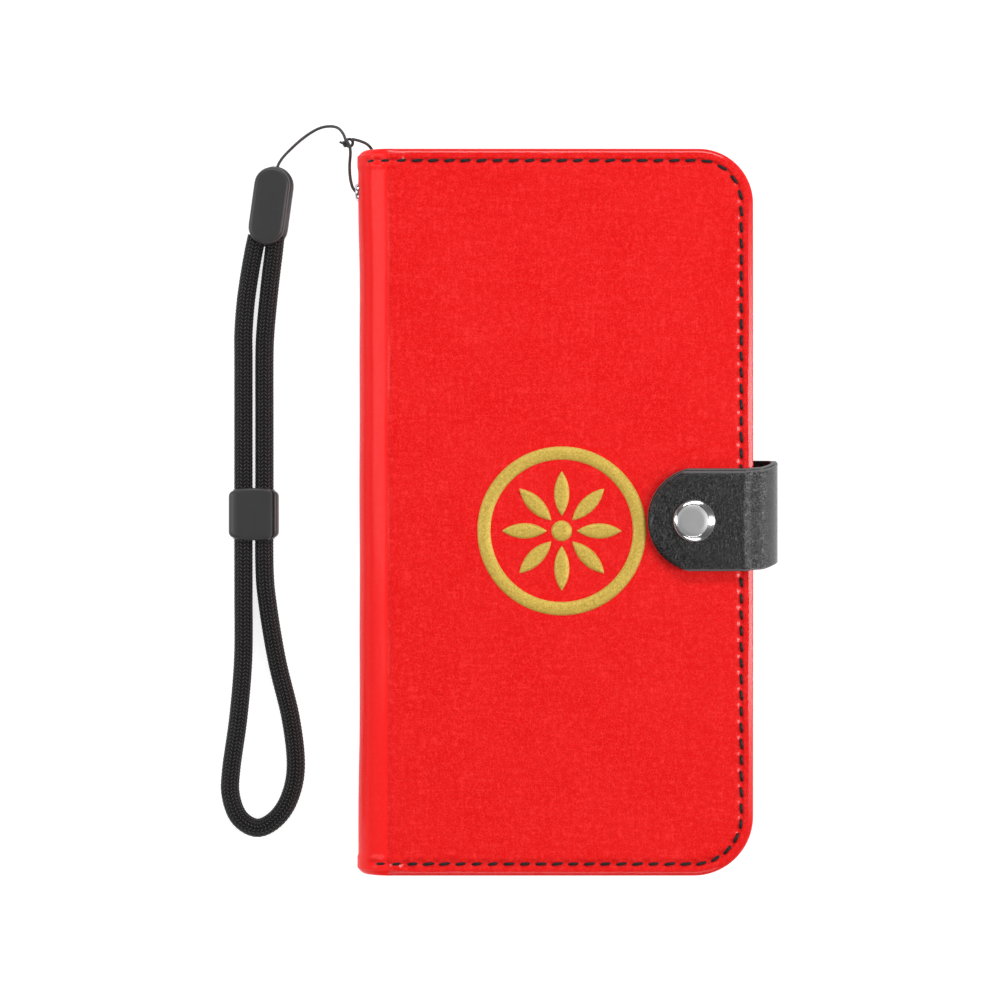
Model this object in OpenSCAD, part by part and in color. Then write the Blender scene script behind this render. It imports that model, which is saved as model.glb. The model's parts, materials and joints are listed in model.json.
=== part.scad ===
// Folio wallet case for a large phone, with a snap closure strap and a braided wrist strap.
// It lies on its back cover: +Z is the front cover's outward normal, +Y runs to the top
// edge and +X to the closure strap. The origin is under the middle of the case's box.

/* [Case] */
// Width of the closed case, from the spine to the opening edge
case_w = 91.2; // [90:0.2:96]
// Length of the case, from the bottom edge to the top edge
case_l = 167.4; // [166:0.2:176]
// Radius of both covers' top corners
corner_top_r = 12.6; // [8:0.2:16]
// Radius of both covers' bottom corners
corner_bottom_r = 14.9; // [8:0.2:16]

/* [Cover plies] */
// Thickness of the outer leather
skin_t = 0.9; // [0.6:0.1:1.2]
// Thickness of the stiffening board
board_t = 1.4; // [1.4:0.1:2]
// Thickness of the lining
lining_t = 0.7; // [0.5:0.1:1]
// Width of the edge turned round each board
rim_w = 1.0; // [0.8:0.1:1.4]
// Thickness of one pocket sheet
pocket_t = 0.3; // [0.2:0.1:0.5]

/* [Phone tray] */
// Width of the phone
phone_w = 77.6; // [70:0.1:77.6]
// Length of the phone
phone_l = 160.7; // [145:0.1:161]
// Thickness of the phone
phone_t = 8.3; // [7:0.1:9]
// Thickness of the tray's side walls
tray_wall = 1.4; // [1:0.1:1.5]
// Side of the square camera window
window = 38; // [20:1:40]

/* [Closure strap] */
// Width of the strap
strap_w = 22.6; // [18:0.2:26]
// Thickness of each of the strap's two plies
strap_ply = 0.7; // [0.5:0.1:0.7]
// Distance from the covers' edge to the strap's tip
strap_reach = 24.0; // [20:0.5:25]
// How far the strap stands out past the covers' edge
strap_out = 6.0; // [4:0.2:8]
// Diameter of the snap's cap
cap_d = 10.0; // [9:0.5:12]

/* [Wrist strap] */
// Diameter of the braided cord
cord_d = 4.4; // [3.6:0.1:4.4]
// Diameter of the thin cord that ties the wrist strap to the spine
leash_d = 0.7; // [0.5:0.1:1]

/* [Hidden] */
$fn = 64;
// How far a cutter runs past what it cuts.
over = 1;
cover_t = skin_t + board_t + lining_t;
tray_base = 0.8;
tray_lip = 0.6;
tray_h = tray_base + phone_t + tray_lip;
page_gap = 0.2;
card_pockets = 3;
pockets_t = (card_pockets + 1) * pocket_t;
case_t = 2 * cover_t + tray_h + page_gap + pockets_t;
front_z = case_t - cover_t;
edge_x = case_w / 2;
edge_y = case_l / 2;

// The spine is a half tube, cut into three at the two fold lines.
spine_r = case_t / 2;
spine_x = -edge_x + spine_r;
fold_angle = 45;
fold_gap_angle = 1.3;
eyelet_y = 74.2;
eyelet_d = 4.4;
eyelet_bore_d = 2.2;
eyelet_barrel_d = 3.0;
eyelet_proud = 0.35;
eyelet_washer_gap = 0.4;
eyelet_washer_t = 0.4;
eyelet_fit = 0.1;
eyelet_l = skin_t + lining_t + eyelet_washer_gap + eyelet_washer_t;

// The case's own box, from the eyelet to the strap, is centred on the origin.
case_cx = -(strap_out - eyelet_proud) / 2;

board_gap = 0.5;
tray_shift = 0.4;
tray_x = (spine_x + edge_x) / 2 - tray_shift;
tray_fit = 0.15;
tray_w = phone_w + 2 * (tray_wall + tray_fit);
tray_l = phone_l + 2 * (tray_wall + tray_fit);
tray_r = 11;
lip_overhang = 0.7;
window_r = 8;
window_inset = 23;
window_x = tray_x + phone_w / 2 - window_inset;
window_y = phone_l / 2 - window_inset;
port_w = 14;
port_lift = 1;

strap_y = -2.0;
strap_t = 2 * strap_ply;
strap_x = edge_x + strap_out;
strap_tip_x = edge_x - strap_reach;
strap_tip_r = 12.0;
strap_tab_x = edge_x - 12;
strap_low_z = skin_t;
strap_lift = 1.1;
strap_top_z = case_t + strap_lift + strap_t;
strap_fit = 0.1;
fold_gap = 0.1;

snap_x = edge_x - 13.8;
socket_d = 8.4;
socket_cavity_d = 5.2;
socket_low_z = case_t + 0.5;
socket_plate_t = 0.2;
stud_d = 4.2;
stud_flange_d = 7.6;
stud_flange_t = 0.4;
stud_h = 1.45;
post_d = 2.2;
post_flange_d = 8.0;
post_flange_t = 0.5;
snap_fit = 0.1;
cap_t = 1.2;
cap_foot = 0.3;
cap_bevel = 0.7;

stitch_inset = 2.8;
stitch_pitch = 3.7;
stitch = [2.5, 0.65, 0.25];
stitch_groove = 0.35;

emblem_pos = [1.5, -4.3];
emblem_r = 19.5;
emblem_ring = 3.2;
emblem_t = 0.25;
emblem_petals = 8;

// Each card pocket is narrower than the one under it by one step.
pocket_inset = 2.0;
pocket_r = 3;
cash_pocket_size = [70, 158];
card_pocket_w = 62;
card_pocket_step = 10;
card_pocket_l = 92;

clip_pos = [-66.1, 71.3];
clip_tilt = -7.8;
clip_size = [9.0, 18.9, 6.4];
clip_wall = 0.9;
clip_cavity_h = 4.6;
slider_pos = [-70.15, -0.5];
slider_size = [11.6, 12.3, 6.0];
slider_r = 2.4;
slider_slot_z = 2.85;
slider_clearance = 0.2;
limb_gap = 4.9;

// Route of the braided cord, from the clip round the loop and back to the clip.
wrist_route = [
    [-69.4, 64.4, 3.2], [-70.2, 60.8, 2.9], [-71.2, 55.3, 2.5], [-72.1, 48.8, 2.5],
    [-72.6, 41.8, 2.7], [-72.6, 35.8, 2.85], [-72.6, 21.8, 2.85], [-72.6, 5.8, 2.85],
    [-72.6, -12.2, 2.85], [-72.6, -20.2, 2.7], [-72.7, -34.2, 2.2], [-73.8, -47.7, 2.2],
    [-75.5, -60.2, 2.2], [-75.6, -66.2, 2.2], [-73.6, -71.4, 2.2], [-69.4, -73.8, 2.2],
    [-65.0, -71.6, 2.2], [-61.8, -66.6, 2.2], [-60.4, -59.2, 2.2], [-61.6, -48.2, 2.2],
    [-64.8, -34.7, 2.2], [-67.0, -21.2, 2.7], [-67.7, -12.2, 2.85], [-67.7, 5.8, 2.85],
    [-67.7, 21.8, 2.85], [-67.7, 35.8, 2.85], [-67.5, 41.8, 2.7], [-66.9, 48.8, 2.5],
    [-66.2, 55.3, 2.5], [-65.5, 60.8, 2.9], [-65.1, 64.4, 3.2]
];
// Route of the thin cord, from the clip's top end to one turn round the hitch.
leash_route = [
    [-64.9, 79.0, 3.2], [-64.5, 81.0, 2.8], [-63.4, 82.9, 1.9], [-61.8, 84.7, 1.1],
    [-59.6, 86.8, 0.6], [-57.2, 88.6, 0.5], [-54.8, 89.8, 1.0], [-52.5, 90.1, 2.2],
    [-50.6, 89.6, 4.0], [-49.3, 88.2, 6.0], [-48.6, 86.5, 7.1], [-48.4, 85.4, 7.4],
    [-47.8, 84.9, 7.5], [-47.1, 85.2, 7.7], [-46.9, 86.0, 7.9], [-47.5, 86.6, 8.1],
    [-48.4, 86.3, 8.3], [-48.6, 85.5, 8.5]
];
// Route of the loop: down the spine's side, in through the eyelet and out at the top edge.
hitch_route = [
    [-48.4, 86.3, 9.7], [-47.6, 84.9, 9.6], [-47.4, 83.2, 9.1], [-47.6, 80.6, 8.6],
    [-47.5, 78.0, 8.5], [-47.0, 75.6, 8.5], [-46.0, 74.3, 8.5], [-44.6, 74.2, 8.5],
    [-43.2, 74.5, 8.5], [-42.2, 75.8, 8.5], [-41.8, 78.0, 8.5], [-41.8, 81.0, 8.6],
    [-42.2, 83.6, 8.9], [-43.4, 85.2, 9.5], [-45.2, 86.0, 10.1], [-47.0, 86.4, 10.5]
];

// ---- Shared shapes ----

module in_case() {
    translate([case_cx, 0, 0]) children();
}

// A cover's outline from the spine's tangent line to the opening edge, drawn in by inset.
module cover_2d(inset = 0) {
    top_r = corner_top_r - inset;
    bottom_r = corner_bottom_r - inset;
    x = edge_x - inset;
    y = edge_y - inset;
    difference() {
        translate([spine_x, -y]) square([x - spine_x, 2 * y]);
        translate([x - top_r, y - top_r]) corner_waste(top_r);
        translate([x - bottom_r, bottom_r - y]) mirror([0, 1]) corner_waste(bottom_r);
    }
}

// What a round corner takes away from a square one.
module corner_waste(r) {
    difference() {
        square(r + over);
        circle(r);
    }
}

module rounded_2d(w, l, r) {
    square([w - 2 * r, l], center = true);
    square([w, l - 2 * r], center = true);
    for (x = [-1, 1], y = [-1, 1])
        translate([x * (w / 2 - r), y * (l / 2 - r)]) circle(r);
}

// One ply of the half tube, between two angles counted from +X towards +Z.
module spine_ply(depth, t, from, to) {
    r = spine_r - depth;
    reach = 2 * spine_r;
    translate([spine_x, 0, spine_r]) rotate([90, 0, 0])
        linear_extrude(case_l, center = true)
            intersection() {
                difference() {
                    circle(r, $fn = 128);
                    circle(r - t, $fn = 128);
                }
                polygon([
                    [0, 0],
                    reach * [cos(from), sin(from)],
                    reach * [cos((from + to) / 2), sin((from + to) / 2)],
                    reach * [cos(to), sin(to)]
                ]);
            }
}

// The phone's camera window, as a cutter through the whole back cover.
module window_cut() {
    translate([window_x, window_y, -over])
        linear_extrude(cover_t + tray_h) rounded_2d(window, window, window_r);
}

// The groove that the back cover's stitches lie in, so that they clear what it rests on.
module stitch_groove_cut() {
    translate([0, 0, -over]) linear_extrude(over + stitch_groove) difference() {
        cover_2d(stitch_inset - stitch[1]);
        cover_2d(stitch_inset + stitch[1]);
    }
}

// The space that the strap's tab takes between the back cover's plies.
module tab_cut() {
    translate([strap_tab_x, strap_y - strap_w / 2 - strap_fit, strap_low_z])
        cube([edge_x, strap_w + 2 * strap_fit, strap_t]);
}

// One stitch lying on the surface at a height, turned to an angle.
module thread(x, y, z, angle) {
    translate([x, y, z + stitch[2] / 2]) rotate([0, 0, angle]) cube(stitch, center = true);
}

// A run of stitches round a cover's three free sides.
module stitch_run(z) {
    x = edge_x - stitch_inset;
    y = edge_y - stitch_inset;
    top_n = floor((edge_x - corner_top_r - spine_x) / stitch_pitch);
    bottom_n = floor((edge_x - corner_bottom_r - spine_x) / stitch_pitch);
    side_l = case_l - corner_top_r - corner_bottom_r;
    side_n = floor(side_l / stitch_pitch);
    for (i = [0:top_n - 1])
        thread(edge_x - corner_top_r - (i + 0.5) * stitch_pitch, y, z, 0);
    for (i = [0:bottom_n - 1])
        thread(edge_x - corner_bottom_r - (i + 0.5) * stitch_pitch, -y, z, 0);
    for (i = [0:side_n - 1])
        thread(x, edge_y - corner_top_r - (i + 0.5) * side_l / side_n, z, 90);
    corner_stitches(edge_y - corner_top_r, corner_top_r, 1, z);
    corner_stitches(corner_bottom_r - edge_y, corner_bottom_r, -1, z);
}

// Stitches round one corner of radius r whose centre is at height y.
module corner_stitches(y, r, way, z) {
    line_r = r - stitch_inset;
    n = round(PI / 2 * line_r / stitch_pitch);
    for (i = [0:n - 1]) {
        angle = way * 90 * (i + 0.5) / n;
        thread(edge_x - r + line_r * cos(angle), y + line_r * sin(angle), z, angle + 90);
    }
}

// ---- Back cover ----

module back_cover_skin() {
    color("firebrick") in_case() difference() {
        union() {
            linear_extrude(skin_t) cover_2d();
            linear_extrude(cover_t) difference() {
                cover_2d();
                cover_2d(rim_w);
            }
            spine_ply(0, skin_t, 180 + fold_angle, 270);
        }
        window_cut();
        tab_cut();
        stitch_groove_cut();
    }
}

// A board stops short of the crease, so that the spine can fold there.
module board_2d() {
    difference() {
        cover_2d(rim_w);
        translate([spine_x - over, -edge_y]) square([over + board_gap, case_l]);
    }
}

module back_board() {
    color("tan") in_case() difference() {
        translate([0, 0, skin_t]) linear_extrude(board_t) board_2d();
        window_cut();
        tab_cut();
    }
}

module back_lining() {
    color("saddlebrown") in_case() difference() {
        union() {
            translate([0, 0, cover_t - lining_t]) linear_extrude(lining_t) cover_2d(rim_w);
            spine_ply(skin_t, lining_t, 180 + fold_angle, 270);
        }
        window_cut();
    }
}

module back_stitching() {
    color("black") in_case() stitch_run(stitch_groove - stitch[2]);
}

// The tray's inside, under a lip that keeps the phone in.
module tray_cavity() {
    w = phone_w + 2 * tray_fit;
    l = phone_l + 2 * tray_fit;
    r = tray_r - tray_wall;
    translate([tray_x, 0, cover_t + tray_base]) {
        linear_extrude(phone_t) rounded_2d(w, l, r);
        linear_extrude(tray_h)
            rounded_2d(w - 2 * lip_overhang, l - 2 * lip_overhang, r - lip_overhang);
    }
}

// A notch in the tray's bottom wall and its lip, open upwards, for the charging plug.
module charging_port_cut() {
    translate([tray_x - port_w / 2, -tray_l / 2 - over, cover_t + tray_base + port_lift])
        cube([port_w, tray_wall + lip_overhang + 2 * over, tray_h]);
}

module phone_tray() {
    color("dimgray") in_case() difference() {
        translate([tray_x, 0, cover_t])
            linear_extrude(tray_h) rounded_2d(tray_w, tray_l, tray_r);
        tray_cavity();
        window_cut();
        charging_port_cut();
    }
}

// ---- Spine ----

module eyelet_hole() {
    translate([-edge_x - over, eyelet_y, spine_r]) rotate([0, 90, 0])
        cylinder(h = skin_t + lining_t + 2 * over, d = eyelet_barrel_d + eyelet_fit);
}

module spine_skin() {
    color("red") in_case() difference() {
        spine_ply(0, skin_t, 180 - fold_angle + fold_gap_angle,
            180 + fold_angle - fold_gap_angle);
        eyelet_hole();
    }
}

module spine_lining() {
    color("saddlebrown") in_case() difference() {
        spine_ply(skin_t, lining_t, 180 - fold_angle + fold_gap_angle,
            180 + fold_angle - fold_gap_angle);
        eyelet_hole();
    }
}

module eyelet() {
    color("silver") in_case() translate([-edge_x, eyelet_y, spine_r]) rotate([0, 90, 0])
        difference() {
            union() {
                translate([0, 0, -eyelet_proud]) cylinder(h = eyelet_proud, d = eyelet_d);
                cylinder(h = eyelet_l, d = eyelet_barrel_d);
            }
            translate([0, 0, -over]) cylinder(h = eyelet_l + 2 * over, d = eyelet_bore_d);
        }
}

module eyelet_washer() {
    color("silver") in_case()
        translate([-edge_x + eyelet_l - eyelet_washer_t, eyelet_y, spine_r])
            rotate([0, 90, 0]) difference() {
                cylinder(h = eyelet_washer_t, d = eyelet_d);
                translate([0, 0, -over])
                    cylinder(h = eyelet_washer_t + 2 * over, d = eyelet_barrel_d);
            }
}

// ---- Front cover ----

module front_cover_skin() {
    color("firebrick") in_case() difference() {
        union() {
            translate([0, 0, case_t - skin_t]) linear_extrude(skin_t) cover_2d();
            translate([0, 0, front_z]) linear_extrude(cover_t) difference() {
                cover_2d();
                cover_2d(rim_w);
            }
            spine_ply(0, skin_t, 90, 180 - fold_angle);
        }
        translate([snap_x, strap_y, front_z])
            cylinder(h = cover_t + over, d = post_d + snap_fit);
    }
}

module front_board() {
    color("tan") in_case() difference() {
        translate([0, 0, front_z + lining_t]) linear_extrude(board_t) board_2d();
        translate([snap_x, strap_y, front_z]) {
            cylinder(h = cover_t, d = post_d + snap_fit);
            cylinder(h = lining_t + post_flange_t, d = post_flange_d + snap_fit);
        }
    }
}

module front_lining() {
    color("saddlebrown") in_case() {
        translate([0, 0, front_z]) linear_extrude(lining_t) cover_2d(rim_w);
        spine_ply(skin_t, lining_t, 90, 180 - fold_angle);
    }
}

module front_stitching() {
    color("black") in_case() stitch_run(case_t);
}

// A flat pocket whose closed end is at the opening edge; layer 0 lies on the lining.
module pocket(layer, w, l) {
    x = edge_x - rim_w - pocket_inset;
    color("peru") in_case()
        translate([x - w / 2, 0, front_z - (layer + 1) * pocket_t])
            linear_extrude(pocket_t) rounded_2d(w, l, pocket_r);
}

module cash_pocket() {
    pocket(0, cash_pocket_size[0], cash_pocket_size[1]);
}

module card_pocket(layer) {
    pocket(layer, card_pocket_w - (layer - 1) * card_pocket_step, card_pocket_l);
}

module snap_stud() {
    color("silver") in_case() translate([snap_x, strap_y, case_t]) difference() {
        union() {
            cylinder(h = stud_flange_t, d = stud_flange_d);
            cylinder(h = stud_h, d = stud_d);
        }
        translate([0, 0, -over]) cylinder(h = over + stud_h / 2, d = post_d + snap_fit);
    }
}

module snap_post() {
    flange_z = front_z + lining_t;
    color("silver") in_case() translate([snap_x, strap_y, flange_z]) {
        cylinder(h = post_flange_t, d = post_flange_d);
        cylinder(h = case_t - flange_z + stud_h / 2, d = post_d);
    }
}

// A ring round a rosette, each petal the overlap of two circles.
module emblem() {
    petal_r = 8.4;
    petal_shift = 6.6;
    petal_out = 8.6;
    hub_r = 2.4;
    color("goldenrod") in_case()
        translate([emblem_pos[0], emblem_pos[1], case_t]) linear_extrude(emblem_t) {
            difference() {
                circle(emblem_r);
                circle(emblem_r - emblem_ring);
            }
            circle(hub_r);
            for (i = [0:emblem_petals - 1])
                rotate(i * 360 / emblem_petals) translate([petal_out, 0])
                    intersection() {
                        translate([0, petal_shift]) circle(petal_r);
                        translate([0, -petal_shift]) circle(petal_r);
                    }
        }
}

// ---- Closure strap ----

// One straight run of one ply, as a closed section in X and Z given by its corners.
module strap_run(section) {
    translate([0, strap_y + strap_w / 2, 0]) rotate([90, 0, 0])
        linear_extrude(strap_w) polygon(section);
}

module strap_tab(ply) {
    near = ply * strap_ply;
    far = near + strap_ply;
    in_case() strap_run([
        [strap_tab_x, strap_low_z + near],
        [strap_x - near - fold_gap, strap_low_z + near],
        [strap_x - far - fold_gap, strap_low_z + far],
        [strap_tab_x, strap_low_z + far]
    ]);
}

module strap_web(ply) {
    near = ply * strap_ply;
    far = near + strap_ply;
    in_case() strap_run([
        [strap_x - near, strap_low_z + near],
        [strap_x - near, strap_top_z - near],
        [strap_x - far, strap_top_z - far],
        [strap_x - far, strap_low_z + far]
    ]);
}

module strap_flap(ply, hole_d) {
    near = ply * strap_ply;
    far = near + strap_ply;
    in_case() difference() {
        intersection() {
            strap_run([
                [strap_tip_x, strap_top_z - near],
                [strap_x - near - fold_gap, strap_top_z - near],
                [strap_x - far - fold_gap, strap_top_z - far],
                [strap_tip_x, strap_top_z - far]
            ]);
            linear_extrude(2 * case_t) flap_2d();
        }
        translate([snap_x, strap_y, case_t]) cylinder(h = case_t, d = hole_d);
    }
}

module flap_2d() {
    translate([strap_tip_x + strap_tip_r, strap_y]) {
        circle(strap_tip_r, $fn = 128);
        translate([0, -strap_w]) square([strap_reach + strap_out, 2 * strap_w]);
    }
}

module strap_outer_tab() {
    color("#1c1a1a") strap_tab(0);
}

module strap_lining_tab() {
    color("#2a2727") strap_tab(1);
}

module strap_outer_web() {
    color("#1c1a1a") strap_web(0);
}

module strap_lining_web() {
    color("#2a2727") strap_web(1);
}

module strap_outer_flap() {
    color("#1c1a1a") strap_flap(0, post_d + snap_fit);
}

module strap_lining_flap() {
    color("#2a2727") strap_flap(1, socket_d + 2 * snap_fit);
}

module snap_socket() {
    top_z = strap_top_z - strap_ply;
    h = top_z - socket_low_z;
    color("silver") in_case() translate([snap_x, strap_y, socket_low_z]) difference() {
        cylinder(h = h, d = socket_d);
        translate([0, 0, -over])
            cylinder(h = over + h - socket_plate_t, d = socket_cavity_d);
        cylinder(h = h + over, d = post_d + snap_fit);
    }
}

module snap_cap() {
    r = cap_d / 2;
    post_l = strap_ply + socket_plate_t;
    color("gray") in_case() translate([snap_x, strap_y, strap_top_z]) {
        rotate_extrude() polygon([
            [0, 0], [r - cap_foot, 0], [r, cap_foot], [r, cap_t / 2],
            [r - cap_bevel, cap_t], [0, cap_t]
        ]);
        translate([0, 0, -post_l]) cylinder(h = post_l, d = post_d);
    }
}

// ---- Wrist strap ----

module clip_2d(inset) {
    w = clip_size[0] - 2 * inset;
    l = clip_size[1] - 2 * inset;
    square([w, l - w], center = true);
    for (y = [-1, 1]) translate([0, y * (l - w) / 2]) circle(w / 2);
}

// One half shell of the clip; side 1 is the upper one, side -1 the lower.
module clip_half(side) {
    half_h = clip_size[2] / 2;
    cavity_h = clip_cavity_h / 2;
    color("#35353a") in_case()
        translate([clip_pos[0], clip_pos[1], half_h]) rotate([0, 0, clip_tilt])
            mirror([0, 0, side > 0 ? 0 : 1]) difference() {
                linear_extrude(half_h) clip_2d(0);
                translate([0, 0, -over]) linear_extrude(over + cavity_h) clip_2d(clip_wall);
            }
}

module cord_slider() {
    slot_d = cord_d + 2 * slider_clearance;
    color("#35353a") in_case() translate([slider_pos[0], slider_pos[1], 0]) difference() {
        linear_extrude(slider_size[2])
            rounded_2d(slider_size[0], slider_size[1], slider_r);
        translate([0, 0, slider_slot_z]) rotate([90, 0, 0])
            linear_extrude(slider_size[1] + 2 * over, center = true) {
                square([limb_gap, slot_d], center = true);
                for (x = [-1, 1]) translate([x * limb_gap / 2, 0]) circle(slot_d / 2);
            }
    }
}

// ---- Cords ----

function unit(v) = v / norm(v);

function tangent(p, i) = unit(p[min(i + 1, len(p) - 1)] - p[max(i - 1, 0)]);

// Points round the cord at point i of its route, n of them at radius r.
function ring(p, i, r, n) =
    let (t = tangent(p, i), side = unit(cross(t, [0, 0, 1])), up = cross(side, t))
    [for (k = [0:n - 1]) p[i] + r * (cos(360 * k / n) * side + sin(360 * k / n) * up)];

module tube(p, d, n) {
    m = len(p);
    points = [for (i = [0:m - 1]) each ring(p, i, d / 2, n)];
    walls = [
        for (i = [0:m - 2], k = [0:n - 1])
            let (a = i * n + k, b = i * n + (k + 1) % n)
            each [[a, b, b + n], [a, b + n, a + n]]
    ];
    start_cap = [for (k = [n - 1:-1:0]) k];
    end_cap = [for (k = [0:n - 1]) (m - 1) * n + k];
    polyhedron(points, concat([start_cap], walls, [end_cap]));
}

module wrist_cord() {
    color("#151515") in_case() tube(wrist_route, cord_d, 12);
}

module leash_cord() {
    color("black") in_case() tube(leash_route, leash_d, 8);
}

module hitch_loop() {
    color("black") in_case() tube(hitch_route, leash_d, 8);
}

back_cover_skin();
back_board();
back_lining();
back_stitching();
phone_tray();
strap_outer_tab();
strap_lining_tab();
spine_skin();
spine_lining();
eyelet();
eyelet_washer();
front_cover_skin();
front_board();
front_lining();
front_stitching();
cash_pocket();
card_pocket(1);  // card_pocket_1
card_pocket(2);  // card_pocket_2
card_pocket(3);  // card_pocket_3
snap_stud();
snap_post();
emblem();
strap_outer_web();
strap_lining_web();
strap_outer_flap();
strap_lining_flap();
snap_socket();
snap_cap();
clip_half(1);  // clip_front
clip_half(-1);  // clip_back
wrist_cord();
leash_cord();
hitch_loop();
cord_slider();
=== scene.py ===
"""Looks of a phone wallet case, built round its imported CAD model.

Lengths are written in millimetres in the model's frame, and mesh_object() turns them to metres.
The case lies on its back cover: +Z is the front cover's outward normal and +Y runs to the top edge.
"""

import json
import math
import random

import bmesh
import bpy
import numpy as np
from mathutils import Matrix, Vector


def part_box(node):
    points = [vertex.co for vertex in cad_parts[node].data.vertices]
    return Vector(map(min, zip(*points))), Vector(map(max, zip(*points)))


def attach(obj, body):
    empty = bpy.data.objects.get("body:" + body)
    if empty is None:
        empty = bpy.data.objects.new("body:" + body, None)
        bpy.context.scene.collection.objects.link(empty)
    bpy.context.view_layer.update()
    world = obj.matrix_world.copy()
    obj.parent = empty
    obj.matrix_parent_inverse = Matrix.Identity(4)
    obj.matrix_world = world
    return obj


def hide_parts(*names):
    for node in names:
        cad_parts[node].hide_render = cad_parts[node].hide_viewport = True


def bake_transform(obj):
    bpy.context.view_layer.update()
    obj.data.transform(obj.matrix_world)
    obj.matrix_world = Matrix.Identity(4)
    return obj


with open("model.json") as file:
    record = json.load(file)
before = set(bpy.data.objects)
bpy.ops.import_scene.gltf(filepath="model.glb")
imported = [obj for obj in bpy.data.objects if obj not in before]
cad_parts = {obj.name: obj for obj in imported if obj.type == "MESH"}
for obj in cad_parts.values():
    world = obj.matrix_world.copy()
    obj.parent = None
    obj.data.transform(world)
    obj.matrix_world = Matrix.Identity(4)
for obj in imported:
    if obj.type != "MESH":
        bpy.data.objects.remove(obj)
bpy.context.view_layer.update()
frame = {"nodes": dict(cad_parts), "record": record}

MM = 0.001


def box_mm(node):
    """Lowest and highest corner of a CAD node, in millimetres."""
    low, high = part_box(node)
    return np.array(low) / MM, np.array(high) / MM


# ---- Sizes taken from the frame ----

cover_low, cover_high = box_mm("front_cover_skin")
EDGE_X, EDGE_Y, CASE_T = cover_high
SIDE_X = box_mm("spine_skin")[0][0]
CASE_CX = (EDGE_X + SIDE_X) / 2
SPINE_R = CASE_T / 2
SPINE_X = SIDE_X + SPINE_R
BOARD_LOW = box_mm("front_board")[0][2]
STRAP_LOW, STRAP_HIGH = box_mm("strap_outer_web")
TIP_X = box_mm("strap_outer_flap")[0][0]
TAB_X = box_mm("strap_outer_tab")[0][0]
CAP_LOW, CAP_HIGH = box_mm("snap_cap")

# ---- Sizes of the looks ----

CORNER_TOP_R = 12.6
CORNER_BOTTOM_R = 13.7
# edge of a cover, of its leather and of the hem at the spine's ends
COVER_T = 3.0
SKIN_T = 0.8
HEM_T = 1.4
# how far the leather rolls out round an edge
ROLL = 1.25
# steps of the covers' grids
PITCH = 0.75
CORNER_STEPS = 22
SPINE_STEPS = 34
# arc lengths across the cover: the spine's middle, and the crease beside the panel
U_SIDE = SPINE_X - SPINE_R * math.pi / 2
CREASE_U = SPINE_X - 1.6
STITCH_INSET = 2.8
STITCH_PITCH = 3.7
CORNERS = ((1, CORNER_TOP_R), (-1, CORNER_BOTTOM_R))
STRAIGHT = 2 * EDGE_Y - CORNER_TOP_R - CORNER_BOTTOM_R
STRAIGHT_STITCHES = int(STRAIGHT / STITCH_PITCH)
STITCH_L = 2.55
SEAM_OVER_SPINE = 7.8
# bed of the back's stitches, which keeps them off the surface that the case lies on
GROOVE_D = 0.4
STRAP_PLY = 0.7
STRAP_SKEW = 2.7
STRAP_TIP_R = 12.0
CORD_D = 4.4
LEASH_D = 0.7
BRAID_COLUMNS = 16
BRAID_ROW = 0.84
BRAID_D = 0.16
# millimetres for one unit of the surface coordinates
UV_SPAN = 200.0

# ---- Routes of the cords, as in the CAD source, from the middle of the case ----

WRIST_ROUTE = [
    (-69.4, 64.4, 3.2), (-70.2, 60.8, 2.9), (-71.2, 55.3, 2.5), (-72.1, 48.8, 2.5),
    (-72.6, 41.8, 2.7), (-72.6, 35.8, 2.85), (-72.6, 21.8, 2.85), (-72.6, 5.8, 2.85),
    (-72.6, -12.2, 2.85), (-72.6, -20.2, 2.7), (-72.7, -34.2, 2.2), (-73.8, -47.7, 2.2),
    (-75.5, -60.2, 2.2), (-75.6, -66.2, 2.2), (-73.6, -71.4, 2.2), (-69.4, -73.8, 2.2),
    (-65.0, -71.6, 2.2), (-61.8, -66.6, 2.2), (-60.4, -59.2, 2.2), (-61.6, -48.2, 2.2),
    (-64.8, -34.7, 2.2), (-67.0, -21.2, 2.7), (-67.7, -12.2, 2.85), (-67.7, 5.8, 2.85),
    (-67.7, 21.8, 2.85), (-67.7, 35.8, 2.85), (-67.5, 41.8, 2.7), (-66.9, 48.8, 2.5),
    (-66.2, 55.3, 2.5), (-65.5, 60.8, 2.9), (-65.1, 64.4, 3.2),
]
LEASH_ROUTE = [
    (-64.9, 79.0, 3.2), (-64.5, 81.0, 2.8), (-63.4, 82.9, 1.9), (-61.8, 84.7, 1.1),
    (-59.6, 86.8, 0.6), (-57.2, 88.6, 0.5), (-54.8, 89.8, 1.0), (-52.5, 90.1, 2.2),
    (-50.6, 89.6, 4.0), (-49.3, 88.2, 6.0), (-48.6, 86.5, 7.1), (-48.4, 85.4, 7.4),
    (-47.8, 84.9, 7.5), (-47.1, 85.2, 7.7), (-46.9, 86.0, 7.9), (-47.5, 86.6, 8.1),
    (-48.4, 86.3, 8.3), (-48.6, 85.5, 8.5),
]
HITCH_ROUTE = [
    (-48.4, 86.3, 9.7), (-47.6, 84.9, 9.6), (-47.4, 83.2, 9.1), (-47.6, 80.6, 8.6),
    (-47.5, 78.0, 8.5), (-47.0, 75.6, 8.5), (-46.0, 74.3, 8.5), (-44.6, 74.2, 8.5),
    (-43.2, 74.5, 8.5), (-42.2, 75.8, 8.5), (-41.8, 78.0, 8.5), (-41.8, 81.0, 8.6),
    (-42.2, 83.6, 8.9), (-43.4, 85.2, 9.5), (-45.2, 86.0, 10.1), (-47.0, 86.4, 10.5),
]


# ---- Camera, light and floor ----

VIEW_W = 230.0
VIEW_DISTANCE = 940.0
VIEW_CENTRE = (CASE_CX - 12.7, 2.8)
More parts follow.
